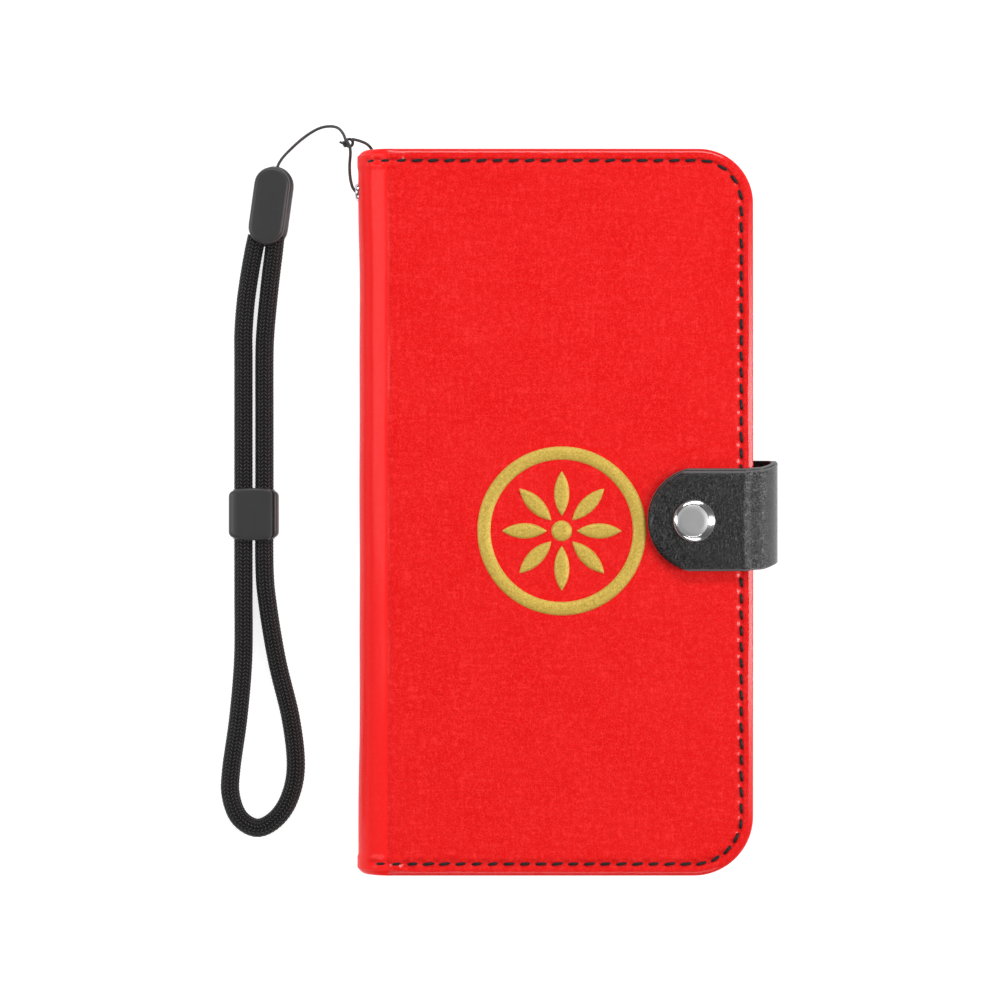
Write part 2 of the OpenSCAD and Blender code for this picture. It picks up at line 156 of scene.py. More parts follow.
# in metres
FLOOR_SIZE = 6.0
FLOOR_DROP = 0.0002


def make_camera():
    """Straight above, with the case right of the middle."""
    data = bpy.data.cameras.new("camera")
    data.lens = data.sensor_width * VIEW_DISTANCE / VIEW_W
    data.clip_end = 10
    camera = bpy.data.objects.new("camera", data)
    camera.location = [c * MM for c in (*VIEW_CENTRE, CASE_T + VIEW_DISTANCE)]
    bpy.context.scene.collection.objects.link(camera)
    bpy.context.scene.camera = camera


def area_light(name, place, size, power):
    """A soft box that faces the frame's origin, in metres and watts."""
    data = bpy.data.lights.new(name, "AREA")
    data.shape = "RECTANGLE"
    data.size, data.size_y = size
    data.energy = power
    light = bpy.data.objects.new(name, data)
    light.location = place
    light.rotation_euler = (-light.location).to_track_quat("-Z", "Y").to_euler()
    bpy.context.scene.collection.objects.link(light)


def make_light():
    """Soft boxes on four sides. The sky above stays dim, so that flat leather keeps its colour."""
    area_light("box_left", (-0.95, 0.10, 0.75), (0.3, 1.1), 5.6)
    area_light("box_right", (0.95, 0.0, 0.70), (0.22, 1.5), 11.4)
    area_light("box_top", (0.0, 1.0, 0.75), (1.1, 0.25), 8.2)
    area_light("box_bottom", (0.0, -1.0, 0.75), (0.9, 0.3), 2.4)
    world = bpy.data.worlds.new("studio")
    world.use_nodes = True
    set_inputs(world.node_tree.nodes["Background"], {"Color": (1, 1, 1, 1), "Strength": 0.12})
    bpy.context.scene.world = world
    bpy.context.scene.view_settings.view_transform = "Standard"


def make_floor():
    """A floor that glows a little, so that it is nearly white and shows only faint shadows."""
    bpy.ops.mesh.primitive_plane_add(size=FLOOR_SIZE, location=(0, 0, -FLOOR_DROP))
    floor = bpy.context.object
    floor.name = "floor"
    material, shader, _ = new_material("floor", (0.5, 0.5, 0.5), 0.9)
    glow = {"Specular IOR Level": 0.0, "Emission Color": (1, 1, 1, 1), "Emission Strength": 0.78}
    set_inputs(shader, glow)
    floor.data.materials.append(material)


# ---- Material tools ----


def set_inputs(node, values):
    for name, value in values.items():
        node.inputs[name].default_value = value


def new_material(name, colour, roughness, metallic=0.0):
    """A material, its shader and its node tree."""
    material = bpy.data.materials.new(name)
    material.use_nodes = True
    shader = material.node_tree.nodes["Principled BSDF"]
    set_inputs(shader, {"Base Color": (*colour, 1), "Roughness": roughness, "Metallic": metallic})
    return material, shader, material.node_tree


def add(tree, kind, inputs=None, **settings):
    """A new node. Each input is a value, or a socket to link from."""
    made = tree.nodes.new(kind)
    for key, value in settings.items():
        setattr(made, key, value)
    for key, value in (inputs or {}).items():
        if isinstance(value, bpy.types.NodeSocket):
            tree.links.new(value, made.inputs[key])
        else:
            made.inputs[key].default_value = value
    return made


def mix_colour(tree, factor, first, second):
    """Socket of a colour between two others."""
    made = add(tree, "ShaderNodeMix", data_type="RGBA")
    for index, value in ((0, factor), (6, first), (7, second)):
        if isinstance(value, bpy.types.NodeSocket):
            tree.links.new(value, made.inputs[index])
        else:
            made.inputs[index].default_value = value if index == 0 else (*value, 1)
    return made.outputs[2]


def spread(tree, socket, low, high, to_low=0.0, to_high=1.0, **settings):
    """Socket that carries low..high of another to to_low..to_high."""
    inputs = {"Value": socket, "From Min": low, "From Max": high, "To Min": to_low, "To Max": to_high}
    return add(tree, "ShaderNodeMapRange", inputs, **settings).outputs["Result"]


def scaled(tree, vector, factor):
    inputs = {"Vector": vector, "Scale": factor}
    return add(tree, "ShaderNodeVectorMath", inputs, operation="SCALE").outputs["Vector"]


def flat_mm(tree):
    """Coordinates along the surface, in millimetres, which stay on the piece when it bends."""
    return scaled(tree, add(tree, "ShaderNodeUVMap", uv_map="flat").outputs["UV"], UV_SPAN)


def object_mm(tree):
    """The piece's own coordinates, in millimetres."""
    return scaled(tree, add(tree, "ShaderNodeTexCoord").outputs["Object"], 1 / MM)


def noise(tree, vector, scale, detail=3.0, roughness=0.55, stretch=None, turn=0.0):
    """Noise value. stretch draws it out along a direction that turn gives, in radians."""
    if stretch:
        inputs = {"Vector": vector, "Rotation": (0, 0, turn), "Scale": stretch}
        vector = add(tree, "ShaderNodeMapping", inputs).outputs["Vector"]
    inputs = {"Vector": vector, "Scale": scale, "Detail": detail, "Roughness": roughness}
    return add(tree, "ShaderNodeTexNoise", inputs).outputs["Fac"]


def product(tree, first, second):
    return math_node(tree, "MULTIPLY", first, second)


def math_node(tree, operation, first, second):
    return add(tree, "ShaderNodeMath", {0: first, 1: second}, operation=operation).outputs["Value"]


def surface(tree, shader, tone, height, strength=1.0, distance=1.0, rough=None):
    """Links a shader's colour, bump and roughness. distance is in millimetres for a height of 1."""
    inputs = {"Height": height, "Strength": strength, "Distance": distance * MM}
    normal = add(tree, "ShaderNodeBump", inputs).outputs["Normal"]
    for name, socket in (("Base Color", tone), ("Normal", normal), ("Roughness", rough)):
        if socket is not None:
            tree.links.new(socket, shader.inputs[name])


# ---- Materials ----


def wrinkles(tree, place, cell):
    """Heights of a wrinkled grain: warped cells about cell millimetres wide, grain and long creases."""
    warp = add(tree, "ShaderNodeTexNoise", {"Vector": place, "Scale": 0.35 / cell, "Detail": 3.0})
    inputs = {0: warp.outputs["Color"], 1: (1.6 * cell,) * 3, 2: place}
    bent = add(tree, "ShaderNodeVectorMath", inputs, operation="MULTIPLY_ADD").outputs["Vector"]
    inputs = {"Vector": bent, "Scale": 1 / cell}
    cells = add(tree, "ShaderNodeTexVoronoi", inputs, feature="DISTANCE_TO_EDGE")
    edges = spread(tree, cells.outputs["Distance"], 0.0, 0.22)
    grain = noise(tree, bent, 2.6 / cell, 4.0, 0.65)
    one_way = noise(tree, bent, 1.0, 5.0, 0.7, (0.16, 1.5, 1), 0.5)
    other_way = noise(tree, bent, 1.0, 5.0, 0.7, (1.3, 0.2, 1), 0.25)
    return edges, grain, product(tree, one_way, other_way)


def seam_pull(tree):
    """Height in millimetres of the dents round a seam's stitches, deepest in the gaps between them."""
    place = add(tree, "ShaderNodeUVMap", uv_map="seam").outputs["UV"]
    parts = add(tree, "ShaderNodeSeparateXYZ", {"Vector": place}).outputs
    along = math_node(tree, "PINGPONG", parts["X"], 0.5)
    hole = spread(tree, along, 0.0, 0.5, 1.0, 0.35)
    inside = math_node(tree, "DIVIDE", parts["Y"], 1.5)
    outside = math_node(tree, "DIVIDE", parts["Y"], -0.8)
    away = math_node(tree, "MAXIMUM", inside, outside)
    dent = spread(tree, away, 0.0, 1.0, -0.42, 0.0, interpolation_type="SMOOTHSTEP")
    return product(tree, dent, hole)


def weighted_sum(tree, *terms):
    """Socket that adds up (socket, weight) pairs."""
    total = None
    for socket, weight in terms:
        part = product(tree, socket, weight)
        total = part if total is None else math_node(tree, "ADD", total, part)
    return total


def cover_leather(name, colour, deep, pale, grain_mm, gloss):
    """Grained artificial leather: a patchy network of paler creases over mottled red."""
    material, shader, tree = new_material(name, colour, 0.45)
    place = flat_mm(tree)
    edges, grain, hairs = wrinkles(tree, place, 0.68)
    patches = spread(tree, noise(tree, place, 0.8, 3.0), 0.38, 0.62)
    lines = product(tree, spread(tree, edges, 0.0, 0.7, 1.0, 0.0), patches)
    blotches = spread(tree, noise(tree, place, 0.06, 4.0, 0.6), 0.36, 0.64)
    tone = mix_colour(tree, spread(tree, grain, 0.36, 0.62), deep, colour)
    tone = mix_colour(tree, product(tree, blotches, 0.12), tone, pale)
    long_creases = spread(tree, hairs, 0.27, 0.4, 0.0, 0.6)
    tone = mix_colour(tree, product(tree, lines, 0.7), tone, pale)
    tone = mix_colour(tree, long_creases, tone, pale)
    terms = [(edges, grain_mm), (grain, 1.6 * grain_mm), (hairs, -2.2 * grain_mm), (seam_pull(tree), 1.0)]
    rough = spread(tree, grain, 0.3, 0.7, 0.4, 0.52)
    surface(tree, shader, tone, weighted_sum(tree, *terms), rough=rough)
    set_inputs(shader, {"Specular IOR Level": 0.1, "Coat Weight": gloss})
    set_inputs(shader, {"Coat Roughness": 0.13, "Coat IOR": 1.55})
    return material


def lining_leather(name, coordinates, broad, dark, light, roughness):
    """Smooth satin leather with a very fine grain and broad, faint clouds from dark to light."""
    material, shader, tree = new_material(name, (0.21, 0.008, 0.010), roughness)
    place = coordinates(tree)
    tone = mix_colour(tree, noise(tree, place, broad), dark, light)
    surface(tree, shader, tone, noise(tree, place, 2.2, 5.0, 0.7), 0.35, 0.06)
    return material


def strap_leather():
    """Black leather whose fine creases are rubbed pale in patches."""
    material, shader, tree = new_material("strap_leather", (0.016, 0.015, 0.015), 0.34)
    place = flat_mm(tree)
    edges, grain, _ = wrinkles(tree, place, 0.62)
    patches = spread(tree, noise(tree, place, 1.1, 3.0), 0.4, 0.62)
    lines = product(tree, spread(tree, edges, 0.0, 0.8, 1.0, 0.0), patches)
    dust = spread(tree, noise(tree, place, 3.0, 3.0, 0.7), 0.58, 0.72)
    tone = mix_colour(tree, lines, (0.004, 0.0037, 0.0037), (0.042, 0.04, 0.04))
    tone = mix_colour(tree, product(tree, dust, 0.6), tone, (0.055, 0.053, 0.053))
    rough = spread(tree, grain, 0.3, 0.7, 0.19, 0.27)
    surface(tree, shader, tone, weighted_sum(tree, (edges, 0.035), (grain, 0.06)), rough=rough)
    return material


def cut_edge():
    """The strap's cut and rubbed edge."""
    material, shader, tree = new_material("cut_edge", (0.12, 0.12, 0.12), 0.6)
    fibres = noise(tree, flat_mm(tree), 2.5, 4.0, 0.7)
    tone = mix_colour(tree, fibres, (0.06, 0.06, 0.06), (0.16, 0.16, 0.16))
    surface(tree, shader, tone, fibres, 0.4, 0.06)
    return material


def twist(tree, shader, place, scale, distortion, dark, light):
    """Twisted strands that run slantwise along a thread, in two greys."""
    inputs = {"Vector": place, "Scale": scale, "Distortion": distortion}
    strands = add(tree, "ShaderNodeTexWave", inputs).outputs["Fac"]
    surface(tree, shader, mix_colour(tree, strands, (dark,) * 3, (light,) * 3), strands, 0.5, 0.08)


def thread_material():
    """Waxed thread of the stitches."""
    material, shader, tree = new_material("thread", (0.012, 0.012, 0.012), 0.45)
    twist(tree, shader, object_mm(tree), 1.3, 1.0, 0.003, 0.02)
    shader.inputs["Specular IOR Level"].default_value = 0.25
    return material


def gold_foil():
    """Pressed gold that takes on the leather's wrinkles."""
    material, shader, tree = new_material("gold_foil", (0.56, 0.37, 0.07), 0.42, 0.25)
    place = object_mm(tree)
    edges, grain, hairs = wrinkles(tree, place, 1.15)
    tone = mix_colour(tree, spread(tree, grain, 0.35, 0.7), (0.50, 0.33, 0.045), (0.80, 0.57, 0.10))
    height = weighted_sum(tree, (edges, 0.03), (grain, 0.09), (hairs, -0.1))
    surface(tree, shader, tone, height, rough=spread(tree, grain, 0.3, 0.7, 0.36, 0.5))
    return material


def plated_metal(name, colour, rough_low, rough_high, brushed):
    """Plated metal with fine rubbing marks."""
    material, shader, tree = new_material(name, colour, rough_low, 1.0)
    marks = noise(tree, object_mm(tree), 1.4, 5.0, 0.6, (brushed, 1.0, 1.0), 0.3)
    surface(tree, shader, None, marks, 0.12, 0.03, spread(tree, marks, 0.3, 0.7, rough_low, rough_high))
    return material


def moulded_plastic(name, colour, roughness):
    """Satin moulding with a spark-eroded texture."""
    material, shader, tree = new_material(name, colour, roughness)
    place = object_mm(tree)
    fine = noise(tree, place, 5.0, 4.0, 0.7)
    worn = noise(tree, place, 0.25, 3.0)
    tone = mix_colour(tree, worn, colour, [c * 1.35 for c in colour])
    rough = spread(tree, fine, 0.3, 0.7, roughness - 0.06, roughness + 0.06)
    surface(tree, shader, tone, fine, 0.3, 0.03, rough)
    return material


def grey_board():
    """Pressed fibre board."""
    material, shader, tree = new_material("board", (0.27, 0.24, 0.19), 0.85)
    fibres = noise(tree, object_mm(tree), 0.8, 6.0, 0.75)
    tone = mix_colour(tree, fibres, (0.2, 0.18, 0.14), (0.34, 0.3, 0.24))
    surface(tree, shader, tone, fibres, 0.4, 0.1)
    return material


def braid_material():
    """Yarn in columns that lean left and right in turn, so that each pair of columns makes Vs, with
    painted shade in the grooves and painted highlights on the strands' tips.
    """
    material, shader, tree = new_material("cord_braid", (0.02, 0.02, 0.021), 0.5)
    uv = add(tree, "ShaderNodeUVMap", uv_map="flat").outputs["UV"]
    parts = add(tree, "ShaderNodeSeparateXYZ", {"Vector": uv}).outputs
    rows = product(tree, parts["X"], UV_SPAN / BRAID_ROW)
    columns = product(tree, parts["Y"], UV_SPAN * BRAID_COLUMNS / (math.pi * CORD_D))
    # a triangle wave over two columns leans one way in the first and the other way in the second
    lean = math_node(tree, "PINGPONG", columns, 1.0)
    strand = math_node(tree, "PINGPONG", math_node(tree, "ADD", rows, lean), 0.5)
    groove = math_node(tree, "PINGPONG", columns, 0.5)
    crown = math_node(tree, "MINIMUM", spread(tree, strand, 0.06, 0.34), spread(tree, groove, 0.03, 0.24))
    fibres = noise(tree, flat_mm(tree), 3.0, 3.0, 0.7)
    # painted shade: the tone is dark in the grooves between strands and lighter on their crowns
    tone = mix_colour(tree, crown, (0.0025, 0.0025, 0.0028), (0.024, 0.024, 0.025))
    # painted highlights: pale flecks on the strands' tips, broken up by fibre noise
    tip = product(tree, spread(tree, strand, 0.3, 0.5), spread(tree, groove, 0.16, 0.4))
    painted_highlights = product(tree, tip, spread(tree, fibres, 0.42, 0.6, 0.25, 1.0))
    tone = mix_colour(tree, painted_highlights, tone, (0.13, 0.13, 0.135))
    surface(tree, shader, tone, weighted_sum(tree, (crown, 0.2), (fibres, 0.05)))
    shader.inputs["Specular IOR Level"].default_value = 0.2
    return material


def thin_cord_material():
    """Twisted cord of the leash, its knot and the hitch loop."""
    material, shader, tree = new_material("cord_thin", (0.015, 0.015, 0.015), 0.45)
    twist(tree, shader, flat_mm(tree), 0.8, 0.6, 0.01, 0.06)
    return material


# ---- Mesh tools ----


def add_uv(mesh, name, values):
    """A layer of surface coordinates, given for each point."""
    layer = mesh.uv_layers.new(name=name)
    corners = np.zeros(len(mesh.loops), np.int32)
    mesh.loops.foreach_get("vertex_index", corners)
    layer.data.foreach_set("uv", values[corners].ravel())


def mesh_object(name, points, faces, materials, flat=None, kinds=None, sharp=50):
    """A smooth-shaded object. flat gives each point's surface coordinates in millimetres."""
    mesh = bpy.data.meshes.new(name)
    mesh.from_pydata((np.asarray(points, float) * MM).tolist(), [], [list(f) for f in faces])
    for material in materials:
        mesh.materials.append(material)
    if kinds is not None:
        mesh.polygons.foreach_set("material_index", np.asarray(kinds, np.int32))
    if flat is not None:
        add_uv(mesh, "flat", np.asarray(flat, float) / UV_SPAN)
    work = bmesh.new()
    work.from_mesh(mesh)
    bmesh.ops.recalc_face_normals(work, faces=work.faces)
    work.to_mesh(mesh)
    work.free()
    mesh.polygons.foreach_set("use_smooth", np.ones(len(mesh.polygons), bool))
    mesh.set_sharp_from_angle(angle=math.radians(sharp))
    made = bpy.data.objects.new(name, mesh)
    bpy.context.scene.collection.objects.link(made)
    return made


def grid_faces(rows, columns, first=0):
    """Quads of a grid of points numbered row by row."""
    return [
        (a, a + 1, a + columns + 1, a + columns)
        for j in range(rows - 1)
        for a in range(first + j * columns, first + (j + 1) * columns - 1)
    ]


def tube_faces(rings, count, first=0):
    """Quads through rings of count points each, then a face across each end."""
    last = first + (rings - 1) * count
    quads = [
        (a + i, a + (i + 1) % count, a + count + (i + 1) % count, a + count + i)
        for a in range(first, last, count)
        for i in range(count)
    ]
    return [*quads, tuple(range(first, first + count)), tuple(range(last, last + count))]


def wall_faces(around, shift):
    """Quads from a closed row of points to the row whose numbers are higher by shift."""
    return [(a, b, b + shift, a + shift) for a, b in zip(around, around[1:] + around[:1])]


def border(rows, columns):
    """Numbers of a grid's outer points, once round."""
    bottom = list(range(columns))
    right = [j * columns + columns - 1 for j in range(1, rows)]
    top = [(rows - 1) * columns + i for i in range(columns - 2, -1, -1)]
    left = [j * columns for j in range(rows - 2, 0, -1)]
    return bottom + right + top + left


def slab(name, upper, lower, materials, flat, edge_kind=0, edge_columns=0):
    """A closed sheet between two grids of points of one shape.

    edge_kind is the material of its sides and of the outermost edge_columns of its long borders.
    """
    rows, columns = upper.shape[:2]
    count = rows * columns
    faces = grid_faces(rows, columns) + grid_faces(rows, columns, count)
    sides = wall_faces(border(rows, columns), count)
    across = np.arange(len(faces)) % (columns - 1)
    at_border = (across < edge_columns) | (across >= columns - 1 - edge_columns)
    kinds = [*(at_border * edge_kind), *([edge_kind] * len(sides))]
    points = np.concatenate([upper.reshape(-1, 3), lower.reshape(-1, 3)])
    coordinates = np.concatenate([flat.reshape(-1, 2)] * 2)
    return mesh_object(name, points, faces + sides, materials, coordinates, kinds)


def loft(name, rings, materials):
    """A closed solid through rings of points, with a face across each end."""
    faces = tube_faces(len(rings), len(rings[0]))
    return mesh_object(name, np.concatenate(rings), faces, materials, sharp=40)


def lathe_points(profile, centre, steps):
    """Points and faces of a solid of revolution about a vertical axis; a radius of 0 closes it."""
    points, faces, rings = [], [], []
    for radius, z in profile:
        start = len(points)
        turns = 1 if radius == 0 else steps
        for k in range(turns):
            a = 2 * math.pi * k / steps
            points.append((centre[0] + radius * math.cos(a), centre[1] + radius * math.sin(a), z))
        rings.append([start + k % turns for k in range(steps)])
    for low, high in zip(rings, rings[1:]):
        for k in range(steps):
            n = (k + 1) % steps
            corners = list(dict.fromkeys((low[k], low[n], high[n], high[k])))
            if len(corners) > 2:
                faces.append(tuple(corners))
    return points, faces


def cut(piece, cutter):
    """Takes a closed cutter out of a piece and removes the cutter."""
    modifier = piece.modifiers.new("cut", "BOOLEAN")
    modifier.object = cutter
    modifier.operation = "DIFFERENCE"
    modifier.solver = "EXACT"
    bpy.context.view_layer.objects.active = piece
    bpy.ops.object.modifier_apply(modifier="cut")
    bpy.data.objects.remove(cutter)


def turned_by(angle, x, y):
    """Coordinates after a turn about the origin, in radians."""
    c, s = math.cos(angle), math.sin(angle)
    return x * c - y * s, x * s + y * c


def smooth(t):
    """Eases from 0 to 1 as t goes from 0 to 1."""
    t = np.clip(t, 0, 1)
    return t * t * (3 - 2 * t)


# ---- Covers and spine ----


def outline_x(y, inset):
    """The opening edge's place at height y, drawn in by inset."""
    x = np.full_like(y, EDGE_X - inset)
    for way, corner in CORNERS:
        r = corner - inset
        past = np.clip(way * y - (EDGE_Y - corner), 0, r)
        x -= r - np.sqrt(np.maximum(r**2 - past**2, 0))
    return x


def cover_rows(inset):
    """Heights of a cover grid's rows, evenly spaced round each corner and along the straight."""
    turn = np.linspace(0, math.pi / 2, CORNER_STEPS)
    low = -(EDGE_Y - CORNER_BOTTOM_R) - (CORNER_BOTTOM_R - inset) * np.cos(turn)
    high = EDGE_Y - CORNER_TOP_R + (CORNER_TOP_R - inset) * np.sin(turn)
    steps = round((high[0] - low[-1]) / PITCH)
    middle = np.linspace(low[-1], high[0], steps + 1)[1:-1]
    return np.concatenate([low, middle, high])


def squeeze(x, y):
    """Draws the spine's round in, slightly along its middle and more at its two ends."""
    middle = 1 - smooth((np.abs(y) - 50) / 25)
    ends = np.clip((np.abs(y) - (EDGE_Y - 1.5)) / 1.5, 0, 1) ** 2
    keep = 1 - 0.035 * middle - 0.1 * ends
    return np.where(x < SPINE_X, SPINE_X + (x - SPINE_X) * keep, x)


def on_cover(u, y, height):
    """Place on the front half of the case, at arc length u across it, y along it and height off it."""
    u, y, height = np.broadcast_arrays(*(np.asarray(v, float) for v in (u, y, height)))
    turn = np.clip((u - U_SIDE) / SPINE_R, 0, math.pi / 2)
    r = SPINE_R + height
    on_arc = u < SPINE_X
    x = np.where(on_arc, SPINE_X - r * np.cos(turn), u)
    z = np.where(on_arc, SPINE_R + r * np.sin(turn), CASE_T + height)
    return np.stack([squeeze(x, y), y, z], axis=-1)


def corner_stitches(corner):
    """Number of stitches round a corner of that radius."""
    return round(math.pi / 2 * (corner - STITCH_INSET) / STITCH_PITCH)


def stitch_places():
    """(u, y, angle) of each stitch round a cover's three free sides and over the spine's ends."""
    places = []
    for way, corner in CORNERS:
        run = EDGE_X - corner - SPINE_X + SEAM_OVER_SPINE
        for i in range(int(run / STITCH_PITCH)):
            u = EDGE_X - corner - (i + 0.5) * STITCH_PITCH
            places.append((u, way * (EDGE_Y - STITCH_INSET), 0.0))
        r, count = corner - STITCH_INSET, corner_stitches(corner)
        for i in range(count):
            a = math.pi / 2 * (i + 0.5) / count
            x = EDGE_X - corner + r * math.cos(a)
            y = EDGE_Y - corner + r * math.sin(a)
            places.append((x, way * y, way * (a + math.pi / 2)))
    for i in range(STRAIGHT_STITCHES):
        y = EDGE_Y - CORNER_TOP_R - (i + 0.5) * STRAIGHT / STRAIGHT_STITCHES
        places.append((EDGE_X - STITCH_INSET, y, math.pi / 2))
    return places


def seam_place(u, y):
    """Place along the seam, in stitches whose middles are on the halves, and distance inside it."""
    top_count = corner_stitches(CORNER_TOP_R)
    along = top_count + (EDGE_Y - CORNER_TOP_R - y) * STRAIGHT_STITCHES / STRAIGHT
    from_right = EDGE_X - STITCH_INSET - u
    distance = from_right
    for way, corner in CORNERS:
        dx, dy = u - (EDGE_X - corner), way * y - (EDGE_Y - corner)
        count = corner_stitches(corner)
        from_end = EDGE_Y - STITCH_INSET - way * y
        # the count starts at the top corner's left end and goes round clockwise
        start = 0 if way > 0 else top_count + STRAIGHT_STITCHES + count
        on_end = (from_end < from_right) & (dx <= 0)
        along = np.where(on_end, start + way * dx / STITCH_PITCH, along)
        distance = np.where(on_end, from_end, distance)
        turned = np.arctan2(np.maximum(dy, 0), np.maximum(dx, 1e-6)) / (math.pi / 2) * count
        in_corner = (dx > 0) & (dy > 0)
        along = np.where(in_corner, count - turned if way > 0 else start - count + turned, along)
        distance = np.where(in_corner, corner - STITCH_INSET - np.hypot(dx, dy), distance)
    # past the seam's end there is nothing to pull on
    distance = np.where(u < SPINE_X - SEAM_OVER_SPINE + 0.3, EDGE_X, distance)
    return along, distance


def relief(u, y, grooved):
    """Height of the leather's face: slow waves, crease, hem and the pull of each stitch."""
    height = 0.05 * np.sin(u * 0.13 + 1.1) * np.sin(y * 0.085 + 0.4)
    height += 0.03 * np.sin(u * 0.31 - y * 0.19)
    height -= 0.05 * np.exp(-(((u - CREASE_U) / 0.6) ** 2))
    hem = smooth((np.abs(y) - (EDGE_Y - 4.6)) / 0.7) * (u < SPINE_X + 2)
    if grooved:
        # the back's hem fades out towards the face that the case lies on
        hem = hem * (1 - smooth((u - U_SIDE) / (SPINE_X - U_SIDE)))
    height += 0.22 * hem
    for su, sy, angle in stitch_places():
        near = (np.abs(u - su) < 4) & (np.abs(y - sy) < 4)
        along, across = turned_by(-angle, u[near] - su, y[near] - sy)
        pull = np.exp(-(((np.abs(along) - 1.4) / 0.7) ** 2)) * np.exp(-((across / 0.8) ** 2))
        height[near] -= 0.2 * pull
        if grooved:
            bed = np.exp(-((across / 0.75) ** 4)) * np.exp(-((along / 2.2) ** 6))
            height[near] -= GROOVE_D * bed
    return height


def rim_profile(depth):
    """(outward, inward depth) steps that roll the leather over an edge of that depth and under it."""
    tilt = np.radians([8, 17, 24, 27, 30, 38, 52, 68, 84])
    step = np.array([0.15, 0.15, 0.2, 0.2, 0.2, 0.2, 0.2, 0.2, 0.2])
    out, down = np.cumsum(step * np.cos(tilt)), np.cumsum(step * np.sin(tilt))
    flatten = min(1, depth / 2 / down[-1])
    foot = min(0.45, depth / 3)
    steps = list(zip(out * ROLL / out[-1], down * flatten))
    for k in range(4):
        a = math.pi / 2 * k / 3
        steps.append((ROLL - foot * (1 - math.cos(a)), depth - foot + foot * math.sin(a)))
    steps.append((-0.3, depth))
    return steps


def cover_grid(inset, share):
    """Arc lengths and heights over the spine's half and the panel, in columns at share of its width."""
    y = cover_rows(inset)
    arc = np.linspace(U_SIDE, SPINE_X, SPINE_STEPS, endpoint=False)
    panel = SPINE_X + share[None, :] * (outline_x(y, inset)[:, None] - SPINE_X)
    u = np.concatenate([np.broadcast_to(arc, (len(y), len(arc))), panel], axis=1)
    return u, np.broadcast_to(y[:, None], u.shape)


def turn_over(points, back):
    """Points of the front cover, or their mirror image on the back one."""
    return points * (1, 1, -1) + (0, 0, CASE_T) if back else points


def cover_leather_mesh(name, materials, back):
    """One cover's leather with the spine's half next to it, rolled over the board's edges."""
    width = EDGE_X - ROLL - SPINE_X
    coarse = np.arange(0, width - 5, PITCH) / width
    fine = np.linspace(coarse[-1], 1, 17)[1:]
    u, yy = cover_grid(ROLL, np.concatenate([coarse, fine]))
    rows, columns = u.shape
    outer = on_cover(u, yy, relief(u, yy, back))
    inner = on_cover(u, yy, -SKIN_T)
    count = rows * columns

    around = border(rows, columns)[: 2 * columns + rows - 2]
    edge_u, edge_y = u.ravel()[around], yy.ravel()[around]
    way = np.where(edge_y > 0, 1, -1)
    corner = np.where(edge_y > 0, CORNER_TOP_R, CORNER_BOTTOM_R)
    sine = np.clip((way * edge_y - (EDGE_Y - corner)) / (corner - ROLL), 0, 1)
    out = np.stack([np.sqrt(1 - sine**2), way * sine], axis=1)
    on_panel = smooth((edge_u - (SPINE_X - 1.5)) / 3)
    depth = HEM_T + (COVER_T - HEM_T) * on_panel
    profiles = np.array([rim_profile(d) for d in depth])
    rings = []
    for step in range(profiles.shape[1]):
        outward, down = profiles[:, step, 0], profiles[:, step, 1]
        ring_u, ring_y = edge_u + out[:, 0] * outward, edge_y + out[:, 1] * outward
        rings.append(on_cover(ring_u, ring_y, -down))
    length = len(around)
    points = np.concatenate([outer.reshape(-1, 3), inner.reshape(-1, 3), *rings])

    faces = grid_faces(rows, columns) + grid_faces(rows, columns, count)
    chains = [around]
    chains += [[2 * count + step * length + k for k in range(length)] for step in range(len(rings))]
    chains.append([number + count for number in around])
    for low, high in zip(chains, chains[1:]):
        faces += [(low[k], low[k + 1], high[k + 1], high[k]) for k in range(length - 1)]
    for j in range(rows - 1):
        a, b = j * columns, (j + 1) * columns
        faces.append((a, b, b + count, a + count))
    for end in (0, -1):
        faces.append(tuple(chain[end] for chain in chains))

    flat_grid = np.stack([u, yy], axis=-1).reshape(-1, 2)
    flat_rim = np.stack([edge_u, edge_y], axis=-1)
    flat = [flat_grid, flat_grid, *(flat_rim + out * (step + 1) * 0.5 for step in range(len(rings)))]
    flat = np.concatenate(flat)
    kinds = [int(min(flat[i, 0] for i in face) < CREASE_U) for face in faces]
    made = mesh_object(name, turn_over(points, back), faces, materials, flat, kinds)
    add_uv(made.data, "seam", np.stack(seam_place(flat[:, 0], flat[:, 1]), axis=-1))
    return made


def lining_mesh(name, material, back):
    """One cover's lining, which runs on round the inside of the spine's half."""
    u, yy = cover_grid(ROLL + 0.35, np.linspace(0, 1, 60))
    drop = CASE_T - BOARD_LOW + 0.02
    near = SKIN_T + 0.1
    depth = near + (drop - near) * smooth((u - SPINE_X - 0.2) / 2.2)
    upper, lower = (turn_over(on_cover(u, yy, -d), back) for d in (depth, depth + 0.6))
    return slab(name, upper, lower, [material], np.stack([u, yy], axis=-1))


def stitch_mesh(name, material, back):
    """Every stitch of one cover: short threads that arch over the leather and dive into it."""
    rng = random.Random(7 if back else 3)
    sides, stations = 8, 9
    points, faces = [], []
    sink = GROOVE_D if back else 0.0
    for u, y, angle in stitch_places():
        lean = math.radians(rng.uniform(2, 9))
        half = STITCH_L / 2 * rng.uniform(0.92, 1.06)
        start = len(points)
        direction = angle + lean
        for t in np.linspace(-1, 1, stations):
            r = 0.36 * max(1 - abs(t) ** 4, 0.06) ** 0.5
            rise = 0.26 * (1 - t * t) - 0.14 - sink
            for k in range(sides):
                a = 2 * math.pi * k / sides
                du, dy = turned_by(direction, t * half, r * math.cos(a))
                points.append(on_cover(u + du, y + dy, rise + 0.75 * r * math.sin(a)))
        faces += tube_faces(stations, sides, start)
    return mesh_object(name, turn_over(np.array(points), back), faces, [material], sharp=80)


